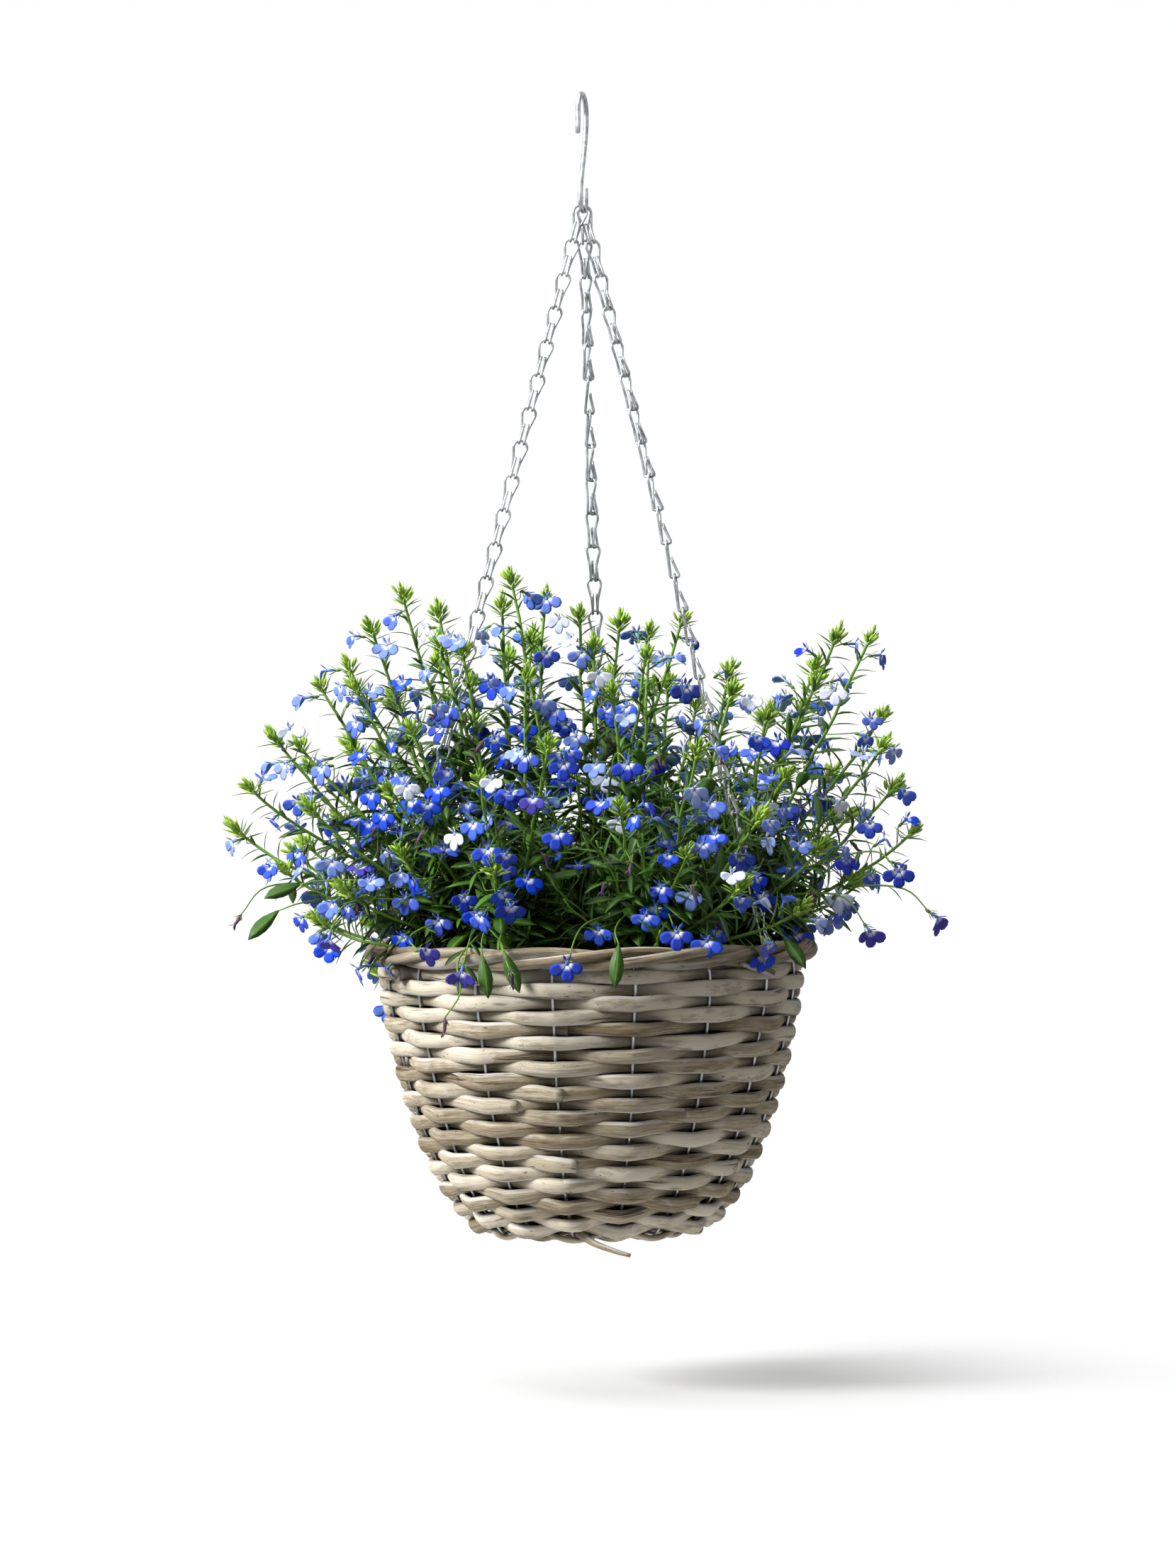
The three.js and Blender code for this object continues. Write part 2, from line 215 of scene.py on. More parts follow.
def stemFinish():
    f = Finish("greenStem", Specular_IOR_Level=0.4)
    reach, tone = f.mark("reach"), f.mark("tone")
    ribs = f.node("ShaderNodeTexWave", {"wave_type": "BANDS", "bands_direction": "Y"},
                  {"Vector": f.scaled(f.mark("rodPlace", "Vector"), 0, 1, 1), "Scale": 260,
                   "Distortion": 0.6})
    fleck = f.speckle(f.place(300, 300, 120), 3)
    colour = f.mix(reach, stemColours["low"], stemColours["high"])
    colour = f.mix(ribs * 0.35, colour, stemColours["rib"])
    colour = f.mix((tone + fleck * 0.4).clear(0.95, 1.25) * (1 - reach) * 0.7, colour,
                   stemColours["flush"])
    return f.feed(Base_Color=colour, Roughness=0.42 + fleck * 0.15,
                  Normal=f.bump(ribs, 0.3, 0.0003))


leafColours = {"deep": "1b3a0c", "fresh": "4a7a1c", "vein": "7a9c3c", "under": "64883a",
               "tipBronze": "4a3a2c"}


def leafFinish(name, colours, gloss):
    f = Finish(name, Specular_IOR_Level=0.34)
    tone, reach, rim = f.mark("tone"), f.mark("reach"), f.mark("rim")
    under = f.mark("under")
    cloud = f.speckle(f.place(160, 160, 160), 4)
    colour = f.mix((tone * 0.8 + cloud * 0.5).clear(0.35, 1.1), colours["deep"], colours["fresh"])
    colour = f.mix((1 - rim.clear(0.0, 0.22)) * 0.55, colour, colours["vein"])
    colour = f.mix(under * 0.6, colour, colours["under"])
    colour = f.mix(reach.clear(0.86, 1.0) * tone.clear(0.5, 0.9) * 0.6, colour, colours["tipBronze"])
    return f.feed(Base_Color=colour, Roughness=gloss + cloud * 0.2,
                  Normal=f.bump(cloud, 0.25, 0.0005))


budColours = {"deep": "55801f", "fresh": "a9cc4a", "vein": "c9e070", "under": "8fb548",
              "tipBronze": "5c4a33"}
petalColours = {"royal": "0026b4", "bright": "1047e6", "violet": "4a35b4", "pale": "8fabee",
                "white": "f4f6fc", "mark": "2f2080", "back": "6c90e6"}
spentColours = {"purple": "3b2350", "dry": "6d5560"}


def petalFinish():
    f = Finish("bluePetal", Specular_IOR_Level=0.12)
    tone, reach = f.mark("tone"), f.mark("reach")
    under, rim, pale = f.mark("under"), f.mark("rim"), f.mark("pale")
    cloud = f.speckle(f.place(260, 260, 260), 3)
    streak = f.speckle(f.place(900, 900, 900), 2)
    colour = f.mix((tone + cloud * 0.3).clear(0.3, 0.85), petalColours["royal"],
                   petalColours["bright"])
    colour = f.mix(tone.clear(0.9, 0.96), colour, petalColours["violet"])
    colour = f.mix(pale, colour, petalColours["pale"])
    colour = f.mix(pale.clear(0.7, 1.0) * 0.8, colour, petalColours["white"])
    colour = f.mix(under * 0.75, colour, petalColours["back"])
    eye = (1 - reach.clear(0.14, 0.42)) * (1 - rim.clear(0.45, 0.95))
    colour = f.mix(eye * (1 - under * 0.5), colour, petalColours["white"])
    dots = reach.clear(0.3, 0.36) * (1 - reach.clear(0.38, 0.46)) * (1 - rim.clear(0.2, 0.5))
    colour = f.mix(dots * 0.5 * (1 - under), colour, petalColours["mark"])
    return f.feed(Base_Color=colour, Roughness=0.55 + streak * 0.2,
                  Normal=f.bump(streak, 0.2, 0.0003))


def spentFinish():
    f = Finish("spentPetal", Specular_IOR_Level=0.2)
    crease = f.speckle(f.place(700, 700, 260), 4)
    tone = f.mark("tone")
    colour = f.mix((crease + tone * 0.4).clear(0.5, 0.9), spentColours["purple"], spentColours["dry"])
    return f.feed(Base_Color=colour, Roughness=0.6 + crease * 0.2,
                  Normal=f.bump(crease, 0.5, 0.0006))


finishes = {
    "wire": wireFinish("galvanisedWire", wireColours),
    "willow": willowFinish("greyWashedWillow", willowColours),
    "rim": willowFinish("rimWillow", rimColours),
    "cut": willowFinish("cutWillowEnd", cutColours),
    "polythene": polytheneFinish(),
    "compost": compostFinish(),
    "stem": stemFinish(),
    "leaf": leafFinish("lobeliaLeaf", leafColours, 0.36),
    "bud": leafFinish("budTip", budColours, 0.42),
    "petal": petalFinish(),
    "spent": spentFinish(),
}
print("finishes made")


# the shared bench: straight rods laid along routes, gathered into pieces
rodStock = {}


def reshape(*steps):
    # edit-mode steps, each on the whole of the active object
    bpy.ops.object.mode_set(mode="EDIT")
    for step, values in steps:
        bpy.ops.mesh.select_all(action="SELECT")
        step(**values)
    bpy.ops.object.mode_set(mode="OBJECT")


def straightRod(sides, steps):
    # ring number and angle of each point of a capped straight rod, and its faces
    if (sides, steps) in rodStock:
        return rodStock[sides, steps]
    bpy.ops.object.select_all(action="DESELECT")
    bpy.ops.mesh.primitive_circle_add(vertices=sides, radius=1)
    rod = bpy.context.object
    reshape((bpy.ops.mesh.extrude_repeat, {"steps": steps, "offset": (0, 0, 1)}),
            (bpy.ops.mesh.fill_holes, {"sides": 0}),
            (bpy.ops.mesh.normals_make_consistent, {"inside": False}))
    spots = np.array([v.co[:] for v in rod.data.vertices])
    faces = [tuple(p.vertices) for p in rod.data.polygons]
    bpy.data.objects.remove(rod)
    ring = np.rint(spots[:, 2]).astype(int)
    rodStock[sides, steps] = (ring, np.arctan2(spots[:, 1], spots[:, 0]), faces)
    return rodStock[sides, steps]


class Bench:
    # gathers shapes and their marks, then makes them one piece
    def __init__(self):
        self.spots, self.faces, self.wears, self.marks, self.count = [], [], [], [], 0

    def lay(self, spots, faces, wears=0, **marks):
        self.faces += [tuple(i + self.count for i in face) for face in faces]
        self.wears += wears if isinstance(wears, list) else [wears] * len(faces)
        self.marks += [(name, self.count, len(spots), values) for name, values in marks.items()]
        self.spots.append(spots)
        self.count += len(spots)

    def piece(self, name, wears, nodes, slot, body="basket"):
        mesh = bpy.data.meshes.new(name)
        mesh.from_pydata(np.concatenate(self.spots).tolist(), [], self.faces)
        for mark in sorted({m[0] for m in self.marks}):
            wide = 3 if mark == "rodPlace" else 1
            values = np.zeros((self.count, wide))
            for kind, start, long, given in self.marks:
                if kind == mark:
                    values[start:start + long] = np.asarray(given, float).reshape(-1, wide)
            layer = mesh.attributes.new(mark, "FLOAT_VECTOR" if wide == 3 else "FLOAT", "POINT")
            layer.data.foreach_set("vector" if wide == 3 else "value", values.ravel())
        for finish in wears:
            mesh.materials.append(finishes[finish])
        mesh.polygons.foreach_set("material_index", self.wears)
        mesh.update()
        made = bpy.data.objects.new(name, mesh)
        bpy.context.collection.objects.link(made)
        mesh.shade_smooth()
        settle(made, nodes, body)


def settle(piece, nodes, body="basket"):
    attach(piece, body)
    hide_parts(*nodes)


def unit(way):
    return way / np.linalg.norm(way)


def bend(a, b, c, d, t):
    # the route from a to d that b and c pull on
    return a * (1 - t) ** 3 + 3 * b * t * (1 - t) ** 2 + 3 * c * t ** 2 * (1 - t) + d * t ** 3


def ways(points):
    # the way ahead at each point of a route
    way = np.gradient(points, axis=0)
    return way / np.linalg.norm(way, axis=1)[:, None]


def pointAt(route, run, distance):
    return np.array([np.interp(distance, run, route[:, k]) for k in range(route.shape[1])])


def carried(points, first):
    # two directions across a route, turned as little as possible along it
    way = ways(points)
    across = []
    last = np.asarray(first, float)
    for step in way:
        last = unit(last - step * (last @ step))
        across.append(last)
    across = np.array(across)
    return across, np.cross(way, across)


def alongs(points):
    gaps = np.linalg.norm(np.diff(points, axis=0), axis=1)
    return np.concatenate([[0], np.cumsum(gaps)])


def layRod(bench, points, thick, tall=None, sides=8, first=(1, 0.03, 0.02), axes=None,
           wears=0, capWears=None, **marks):
    points = np.asarray(points, float)
    count = len(points)
    ring, turn, faces = straightRod(sides, count - 1)
    thick = np.broadcast_to(thick, count) / 2
    tall = thick if tall is None else np.broadcast_to(tall, count) / 2
    a, b = axes if axes else carried(points, first)
    u, v = np.cos(turn) * thick[ring], np.sin(turn) * tall[ring]
    spots = points[ring] + a[ring] * u[:, None] + b[ring] * v[:, None]
    run = alongs(points)
    if "rodPlace" in marks:                     # given as the rod's own number
        seed = marks.pop("rodPlace")
        marks["rodPlace"] = np.stack([run[ring] + seed * 1.37, u, v], axis=1)
        marks["edge"] = np.abs(np.sin(turn))
    marks = {k: (m[ring] if np.ndim(m) == 1 and len(m) == count else m) for k, m in marks.items()}
    if capWears is not None:
        wears = [capWears if len(face) == sides else wears for face in faces]
    bench.lay(spots, faces, wears, **marks)


def curve(points, steps):
    # a smooth route through the points given
    p = np.asarray(points, float)
    p = np.vstack([2 * p[0] - p[1], p, 2 * p[-1] - p[-2]])
    spans = len(p) - 3
    t = np.linspace(0, spans, steps + 1)
    i = np.minimum(t.astype(int), spans - 1)
    f = (t - i)[:, None]
    p0, p1, p2, p3 = p[i], p[i + 1], p[i + 2], p[i + 3]
    return 0.5 * (2 * p1 + (p2 - p0) * f + (2 * p0 - 5 * p1 + 4 * p2 - p3) * f ** 2
                  + (3 * p1 - p0 - 3 * p2 + p3) * f ** 3)


def polar(radius, azimuth, z=0.0):
    a = math.radians(azimuth)
    return np.array([radius * math.cos(a), radius * math.sin(a), z])


def rough(x, y, z=0.0):
    return noise.noise(Vector((x, y, z)))


# camera, lights and stage
view = {"distance": 4.0, "height": -0.40, "aim": (-0.0006, 0, -0.459), "roll": -0.57,
        "sensor": 36, "lens": 137.37480, "floor": -0.862}


def setView():
    bpy.ops.object.camera_add(location=(view["aim"][0], -view["distance"], view["height"]))
    camera = bpy.context.object
    camera.data.sensor_width = view["sensor"]
    camera.data.lens = view["lens"]
    look = (Vector(view["aim"]) - camera.location).to_track_quat("-Z", "Y")
    camera.rotation_euler = (look.to_matrix() @ Matrix.Rotation(
        math.radians(view["roll"]), 3, "Z")).to_euler()
    camera.data.clip_end = 60
    bpy.context.scene.camera = camera


lamps = {  # place, size and power of each softbox; all aim at the basket
    "keyLeft": ((-2.7, -1.1, 1.2), 1.2, 178),
    "topSoft": ((-0.3, -0.2, 2.1), 2.2, 56),
    "fillRight": ((1.5, -2.6, 0.3), 1.8, 6),
    "backLeft": ((-1.3, 1.5, 1.6), 1.6, 22),
}


def setLights():
    for name, (place, size, power) in lamps.items():
        bpy.ops.object.light_add(type="AREA", location=place)
        lamp = bpy.context.object
        lamp.name = name
        lamp.data.size = size
        lamp.data.energy = power
        aim = Vector((0, 0, -0.5)) - Vector(place)
        lamp.rotation_euler = aim.to_track_quat("-Z", "Y").to_euler()
    world = bpy.data.worlds.new("studio")
    bpy.context.scene.world = world
    world.use_nodes = True
    tree = world.node_tree
    back = tree.nodes["Background"]
    back.inputs["Color"].default_value = (1, 1, 1, 1)
    path = tree.nodes.new("ShaderNodeLightPath")
    seen = tree.nodes.new("ShaderNodeMath")
    seen.operation = "MULTIPLY_ADD"
    tree.links.new(path.outputs["Is Glossy Ray"], seen.inputs[0])
    seen.inputs[1].default_value = 0.7              # how much of the white the wire mirrors
    tree.links.new(path.outputs["Is Camera Ray"], seen.inputs[2])
    level = tree.nodes.new("ShaderNodeMapRange")
    tree.links.new(seen.outputs[0], level.inputs["Value"])
    level.inputs["To Min"].default_value = 0.17     # light on the object
    level.inputs["To Max"].default_value = 1.0      # the white behind it
    tree.links.new(level.outputs["Result"], back.inputs["Strength"])


def setFloor():
    bpy.ops.object.select_all(action="DESELECT")
    bpy.ops.mesh.primitive_circle_add(vertices=96, radius=9, fill_type="NGON",
                                      location=(0, 0, view["floor"]))
    floor = bpy.context.object
    floor.name = "floor"
    bpy.ops.object.transform_apply(location=True, rotation=True, scale=True)
    f = Finish("paleFloor", Roughness=0.9, Specular_IOR_Level=0.1)
    cloud = f.speckle(f.place(0.6, 0.6, 0.6), 2)
    f.feed(Base_Color=f.mix(cloud, (0.76, 0.76, 0.76, 1), (0.8, 0.8, 0.8, 1)))
    away = f.node("ShaderNodeVectorMath", {"operation": "LENGTH"}, {0: f.place(1, 1, 0)},
                  output="Value")
    f.feed(Alpha=(1 - away.clear(0.14, 0.44)) * 0.75)    # fades into the white behind it
    floor.data.materials.append(f.material)


bpy.context.scene.view_settings.view_transform = "Standard"
setView()
setLights()
setFloor()
print("camera, lights and floor set")


# hook
hook = {"wire": 3.3, "crook": 13, "crookTurn": 12, "tip": 14, "eye": 6.6, "eyeTurn": 16,
        "eyeReturn": 9, "eyeBottom": -76.5}


def halfTurn(centre, way, radius, start, end, steps):
    return [centre + way * radius * math.cos(math.radians(a))
            + np.array([0, 0, radius * math.sin(math.radians(a))])
            for a in np.linspace(start, end, steps + 1)]


def makeHook():
    crookWay = polar(1, -90 - hook["crookTurn"])
    eyeWay = polar(1, 90 - hook["eyeTurn"])
    crookCentre = np.array([0, 0, hook["wire"] / 2 - hook["crook"]])
    eyeCentre = np.array([0, 0, hook["eyeBottom"] + hook["eye"]])
    crook = halfTurn(crookCentre, crookWay, hook["crook"], 0, 180, 28)
    eye = halfTurn(eyeCentre, eyeWay, hook["eye"], -180, 0, 20)
    down = lambda p, d: p - np.array([0, 0, d])
    tip = [down(crook[0], hook["tip"]) + crookWay * 1.5,
           down(crook[0], hook["tip"] * 0.5) + crookWay * 0.5]
    shank = [bend(crook[-1], down(crook[-1], 20), down(eye[0], -18), eye[0], t)
             for t in np.linspace(0.06, 0.94, 16)]
    end = [down(eye[-1], -hook["eyeReturn"] * 0.5), down(eye[-1], -hook["eyeReturn"])]
    route = np.array([*tip, *crook, *shank, *eye, *end]) * mm
    route = np.vstack([route[0], route, route[-1]])
    route[0] += unit(route[1] - route[2]) * 0.4 * mm
    route[-1] += unit(route[-2] - route[-3]) * 0.4 * mm
    wide = np.full(len(route), hook["wire"] * mm)
    wide[0] = wide[-1] = hook["wire"] * mm * 0.72      # filed cut ends
    bench = Bench()
    layRod(bench, route, wide, sides=20)
    bench.piece("bentHook", ["wire"], ["hook"], "galvanised_wire", body="hook")


makeHook()
print("hook bent")


# chains
chain = {"wire": 1.7, "links": 22, "loop": 4.5, "waist": 1.6, "depth": 6, "tall": 13.6,
         "bite": 1.85, "hoop": 135, "hoopLevel": -566, "hoopWire": 2.5}
chainRuns = [
    ("back", 86, 2.6, [(0, 0), (5, 85), (11, 178), (21, 176)]),
    ("left", 194, -2.8, [(0, 0), (13, 4), (21, -76)]),
    ("right", 329.5, 0, [(0, 8), (9, 80), (12, 84), (21, 59)]),
]


def linkRoute(pitch):
    # half of one bent wire, in the link's own plane, then its mirror image
    w, bottom = chain["waist"], -(pitch + chain["bite"])
    top = [(chain["loop"] * math.cos(math.radians(a)), 0,
            chain["loop"] * (math.sin(math.radians(a)) - 1)) for a in (90, 68, 45, 22, 0, -16)]
    leg = [(3.5, 0, -9.2), (2.3, 0, -14.5), (w + 0.15, 0, bottom + 5), (w, 0, bottom + 1.6)]
    heel = [(w, 0.35, bottom + 0.4), (w, 1.4, bottom), (w, chain["depth"] - 1.8, bottom + 0.1),
            (w, chain["depth"] - 0.4, bottom + 0.5), (w, chain["depth"] - 0.2, bottom + 1.7)]
    back = [(w - 0.1, 4.3, bottom + 6), (w - 0.2, 2.9, bottom + 10.2),
            (w - 0.3, 2.1, bottom + chain["tall"])]
    half = np.array([*top, *leg, *heel, *back])
    route = np.vstack([half[::-1], (half * [-1, 1, 1])[1:]])
    lean = -math.atan(chain["depth"] / 2 / pitch)
    c, s = math.cos(lean), math.sin(lean)
    return route @ np.array([[1, 0, 0], [0, c, s], [0, -s, c]])


def makeChains():
    eyeWay = polar(1, 90 - hook["eyeTurn"])
    for name, azimuth, side, twist in chainRuns:
        rise = hook["eye"] - math.sqrt(hook["eye"] ** 2 - side ** 2)
        apex = hook["eyeBottom"] + (hook["wire"] + chain["wire"]) / 2 + 0.12 + abs(side) * 0.1
        top = eyeWay * side + np.array([0, 0, apex + rise])
        hung = polar(chain["hoop"], azimuth, chain["hoopLevel"]
                     - (chain["hoopWire"] + chain["wire"]) / 2 - 0.1 + chain["bite"])
        run = hung - top
        pitch = np.linalg.norm(run) / chain["links"]
        down = unit(run)
        route = linkRoute(pitch)
        bench = Bench()
        for i in range(chain["links"]):
            turn = math.radians(np.interp(i, *zip(*twist)) + 5 * rough(i * 0.7, azimuth))
            faceOn = unit(np.array([0, -1, 0]) + down * down[1])
            out = faceOn * math.cos(turn) + np.cross(faceOn, down) * math.sin(turn)
            basis = np.stack([np.cross(out, -down), out, -down])
            points = (route @ basis + top + down * i * pitch) * mm
            layRod(bench, points, chain["wire"] * mm, sides=8, first=out + basis[0] * 0.1)
        bench.piece(f"{name}Chain", ["wire"], [f"chain_{name}"], "galvanised_wire")


makeChains()
print("chains linked")


# basket
basket = {"uprights": 16, "firstUpright": 12, "wire": 2.1, "hoop": 135, "hoopLevel": -566,
          "hoopWire": 2.5, "spokeLevel": -755.3, "hub": 22, "rows": 23, "firstRow": 2.6,
          "pitch": (8.75, 7.75), "sway": 4.2, "thick": 6.0, "tucked": 2.6, "proud": 2.6,
          "buttEnds": {4: 264, 9: 261, 10: 247, 12: 336, 13: 282, 15: 265, 19: 315, 7: 200}}
wallPoints = [(137.4, -579), (135, -606), (120.6, -668), (103, -714), (92, -733.5), (77, -750.5)]
wallLine = curve(wallPoints, 400)
wallRun = alongs(wallLine)


def wallAt(along):
    # distance from the axis and height on the wall, and the way out and down from there
    down = unit(pointAt(wallLine, wallRun, along + 0.5) - pointAt(wallLine, wallRun, along - 0.5))
    return pointAt(wallLine, wallRun, along), np.array([-down[1], down[0]]), down


def makeWireFrame():
    bench = Bench()
    fall = [wallAt(s)[0] for s in np.linspace(4, wallRun[-1] - 2, 14)]
    line = [(basket["hoop"], basket["hoopLevel"]), (basket["hoop"] - 0.2, -572), *fall,
            (72.5, basket["spokeLevel"] + 0.4), (66, basket["spokeLevel"]),
            (basket["hub"], basket["spokeLevel"])]
    side = curve(line, 56)
    for i in range(basket["uprights"]):
        azimuth = basket["firstUpright"] + i * 360 / basket["uprights"]
        route = [polar(r, azimuth + 0.5 * rough(k * 0.09, i * 3.1), z)
                 for k, (r, z) in enumerate(side)]
        layRod(bench, np.array(route) * mm, basket["wire"] * mm, sides=8)
    for radius, level, wire in [(basket["hoop"], basket["hoopLevel"], basket["hoopWire"]),
                                (basket["hub"], basket["spokeLevel"] - 1.4, 2.2)]:
        route = [polar(radius, a, level) for a in np.linspace(0, 360, 121)]
        layRod(bench, np.array(route) * mm, wire * mm, sides=8, first=(1, 0, 0))
    bench.piece("weldedFrame", ["wire"], ["wire_frame"], "galvanised_wire")


def rodRoute(i, start, end, steps, rows, proud):
    # one willow rod of a row: in and out of the uprights from one azimuth to another
    along, pitch = rows[i]
    points, outs, downs, deep = [], [], [], []
    for azimuth in np.linspace(start, end, steps + 1):
        weave = math.cos(math.radians(azimuth - basket["firstUpright"]) * basket["uprights"] / 2)
        weave *= -1 if i % 2 else 1
        wave = 0.4 * weave + 0.6 * math.asin(max(-1, min(1, weave))) / (math.pi / 2)
        drift = 1.2 * rough(azimuth * 0.035, i * 5.3) + 0.8 * rough(azimuth * 0.13, i * 3.9, 8)
        spot, out, down = wallAt(along + drift)
        fromEnd = min(azimuth - start, 14) / 14
        toEnd = min(end - azimuth, 12) / 12
        shift = basket["sway"] * wave + 0.5 * rough(azimuth * 0.11, i * 2.7, 4)
        shift -= basket["tucked"] * (1 - fromEnd) ** 2   # the thin end is tucked in
        shift += proud * (1 - toEnd) ** 2                # the butt end stands proud
        spot = spot + out * shift
        ray = polar(1, azimuth)
        points.append(ray * spot[0] + np.array([0, 0, spot[1]]))
        outs.append(ray * out[0] + np.array([0, 0, out[1]]))
        downs.append(ray * down[0] + np.array([0, 0, down[1]]))
        deep.append(weave)
    return np.array(points), np.array(outs), np.array(downs), np.array(deep), pitch


def rowPlaces():
    along, rows = basket["firstRow"], []
    for i in range(basket["rows"]):
        pitch = np.interp(i, [0, basket["rows"] - 1], basket["pitch"])
        rows.append((along, pitch))
        along += pitch
    return rows


def makeRows():
    rng = random.Random(7)
    rows = rowPlaces()
    for i in range(basket["rows"]):
        bench = Bench()
        first = basket["buttEnds"].get(i, rng.uniform(0, 360)) - 4
        cuts = [first, first + rng.uniform(150, 210), first + 360]
        for j in range(2):
            start, end = cuts[j] - 7, cuts[j + 1] + rng.uniform(3, 5)
            steps = int((end - start) / 1.9)
            proud = basket["proud"] if i in basket["buttEnds"] and j else -1.4
            points, outs, downs, weave, pitch = rodRoute(i, start, end, steps, rows, proud)
            t = np.linspace(0, 1, steps + 1)
            girth = 0.90 + 0.14 * t + np.array([0.14 * rough(x * 14, i * 3.1, j) for x in t])
            tall = pitch * girth * (1.10 + 0.15 * weave + 0.010 * i)
            thick = basket["thick"] * girth * (1.0 + 0.08 * weave)
            tall[:5] *= np.linspace(0.5, 1, 5)
            tall[-5:] *= np.linspace(1, 0.8, 5)
            thick[-1] *= 0.9
            # deep paints shade on the rod where it dives behind an upright
            layRod(bench, points * mm, thick * mm, tall * mm, sides=14, axes=(outs, downs),
                   capWears=1, rodPlace=i * 2 + j, tone=rng.random(),
                   deep=np.maximum(0, -weave) ** 1.5)
        bench.piece(f"willowRow{i + 1}", ["willow", "cut"], [f"woven_row_{i + 1}"], "willow")


def makeBase():
    rng = random.Random(11)
    bench = Bench()
    for i, radius in enumerate(np.arange(70, 12, -7.2)):
        start = rng.uniform(0, 360)
        azimuths = np.linspace(start, start + 366, 100)
        wave = np.cos(np.radians(azimuths - basket["firstUpright"]) * 8) * (-1 if i % 2 else 1)
        level = basket["spokeLevel"] + 3.1 * wave
        points = np.array([polar(radius + 0.5 * rough(a * 0.05, i), a, z)
                           for a, z in zip(azimuths, level)])
        outs = np.array([polar(1, a) for a in azimuths])
        ups = np.broadcast_to([0.0, 0.0, -1.0], outs.shape)
        # deep paints shade on each floor rod where it rises over a spoke
        layRod(bench, points * mm, 7.4 * mm, 3.8 * mm, sides=8, axes=(outs, ups),
               rodPlace=60 + i, tone=rng.random(), deep=np.maximum(0, wave) * 0.6)
    twig = [polar(72, 262, -753), polar(85, 270, -758.5), polar(94, 278, -763), polar(99, 284, -766)]
    # deep=0.2 paints a little shade evenly along the twig
    layRod(bench, curve(twig, 12) * mm, np.linspace(5.4, 2.6, 13) * mm, sides=8, rodPlace=75.3,
           tone=0.8, deep=0.2)
    bench.piece("wovenFloor", ["willow"], ["woven_base"], "willow")


rim = {"radius": 144, "level": -570, "rods": 3, "rod": 8.2, "twist": 4.0, "turns": 5,
       "stubs": [(212, 8, 7), (251, 3, 6.2), (322, 9, 6.4)]}


def makeRim():
    rng = random.Random(5)
    for i in range(rim["rods"]):
        bench = Bench()
        start = 40 + i * 118
        azimuths = np.linspace(start, start + 366, 240)
        twist = np.radians(azimuths * rim["turns"] + i * 360 / rim["rods"])
        wander = np.array([rough(a * 0.03, i * 9) for a in azimuths])
        girth = rim["rod"] * (1 + 0.12 * np.array([rough(a * 0.02, i * 4, 2) for a in azimuths]))
        points = np.array([polar(rim["radius"] + rim["twist"] * math.cos(w) + d * 0.8, a,
                                 rim["level"] + rim["twist"] * math.sin(w) + d)
                           for a, w, d in zip(azimuths, twist, wander)])
        girth[:6] *= np.linspace(0.45, 1, 6)
        layRod(bench, points * mm, girth * mm, girth * 0.86 * mm, sides=14, first=(1, 0, 0),
               rodPlace=80 + i, tone=rng.random(), deep=0.0)
        azimuth, across, wide = rim["stubs"][i]          # its cut end, poking out under the rope
        stub = [polar(rim["radius"] - 1, azimuth - across, rim["level"] - 4),
                polar(rim["radius"] + 3, azimuth - across * 0.4, rim["level"] - 9),
                polar(rim["radius"] + 6.5, azimuth, rim["level"] - 13)]
        layRod(bench, curve(stub, 10) * mm, np.linspace(wide * 0.8, wide, 11) * mm, sides=14,
               capWears=1, rodPlace=90 + i, tone=rng.random(), deep=0.0)
        bench.piece(f"rimRod{i + 1}", ["rim", "cut"], [f"rim_rod_{i + 1}"], "rim_willow")


makeWireFrame()
makeRows()
makeBase()
makeRim()
print("basket woven")


# liner and compost
filling = {"inset": 8.2, "wall": 0.35, "floor": -748.6, "soilTop": -590, "crumbs": 420}


def makeLiner():
    # a cylinder pushed out to the wall's line, with soft folds, then given its thickness
    bpy.ops.object.select_all(action="DESELECT")
    bpy.ops.mesh.primitive_grid_add(x_subdivisions=108, y_subdivisions=26, size=1)
    made = bpy.context.object
    made.name = "polytheneLiner"
    for v in made.data.vertices:
        azimuth, t = (v.co.x + 0.5) * 360, v.co.y + 0.5
        spot, out, _ = wallAt(t * (wallRun[-1] - 12))
        fold = 0.7 * rough(azimuth * 0.12, t * 3) + 0.5 * math.sin(math.radians(azimuth * 22)) * (1 - t)
        spot = spot - out * (filling["inset"] + 0.6 - fold)
        lift = 3.0 * (1 - t) ** 3 * (1 + 0.6 * rough(azimuth * 0.09, 7))
        v.co = polar(spot[0], azimuth, spot[1] + lift) * mm
    reshape((bpy.ops.mesh.remove_doubles, {"threshold": 0.0001}))
    low = min(v.co.z for v in made.data.vertices)
    bpy.ops.object.mode_set(mode="EDIT")
    bpy.ops.mesh.select_all(action="DESELECT")
    bpy.ops.object.mode_set(mode="OBJECT")
    for e in made.data.edges:
        e.select = all(made.data.vertices[i].co.z < low + 0.0015 for i in e.vertices)
    bpy.ops.object.mode_set(mode="EDIT")
    bpy.ops.mesh.select_mode(type="EDGE")
    bpy.ops.mesh.fill()
    reshape((bpy.ops.mesh.normals_make_consistent, {"inside": False}))
    wall = made.modifiers.new("wall", "SOLIDIFY")
    wall.thickness, wall.offset = filling["wall"] * mm, -1
    bpy.ops.object.modifier_apply(modifier="wall")
    bpy.ops.object.shade_smooth()
    made.data.materials.clear()
    made.data.materials.append(finishes["polythene"])
    settle(made, ["liner"])


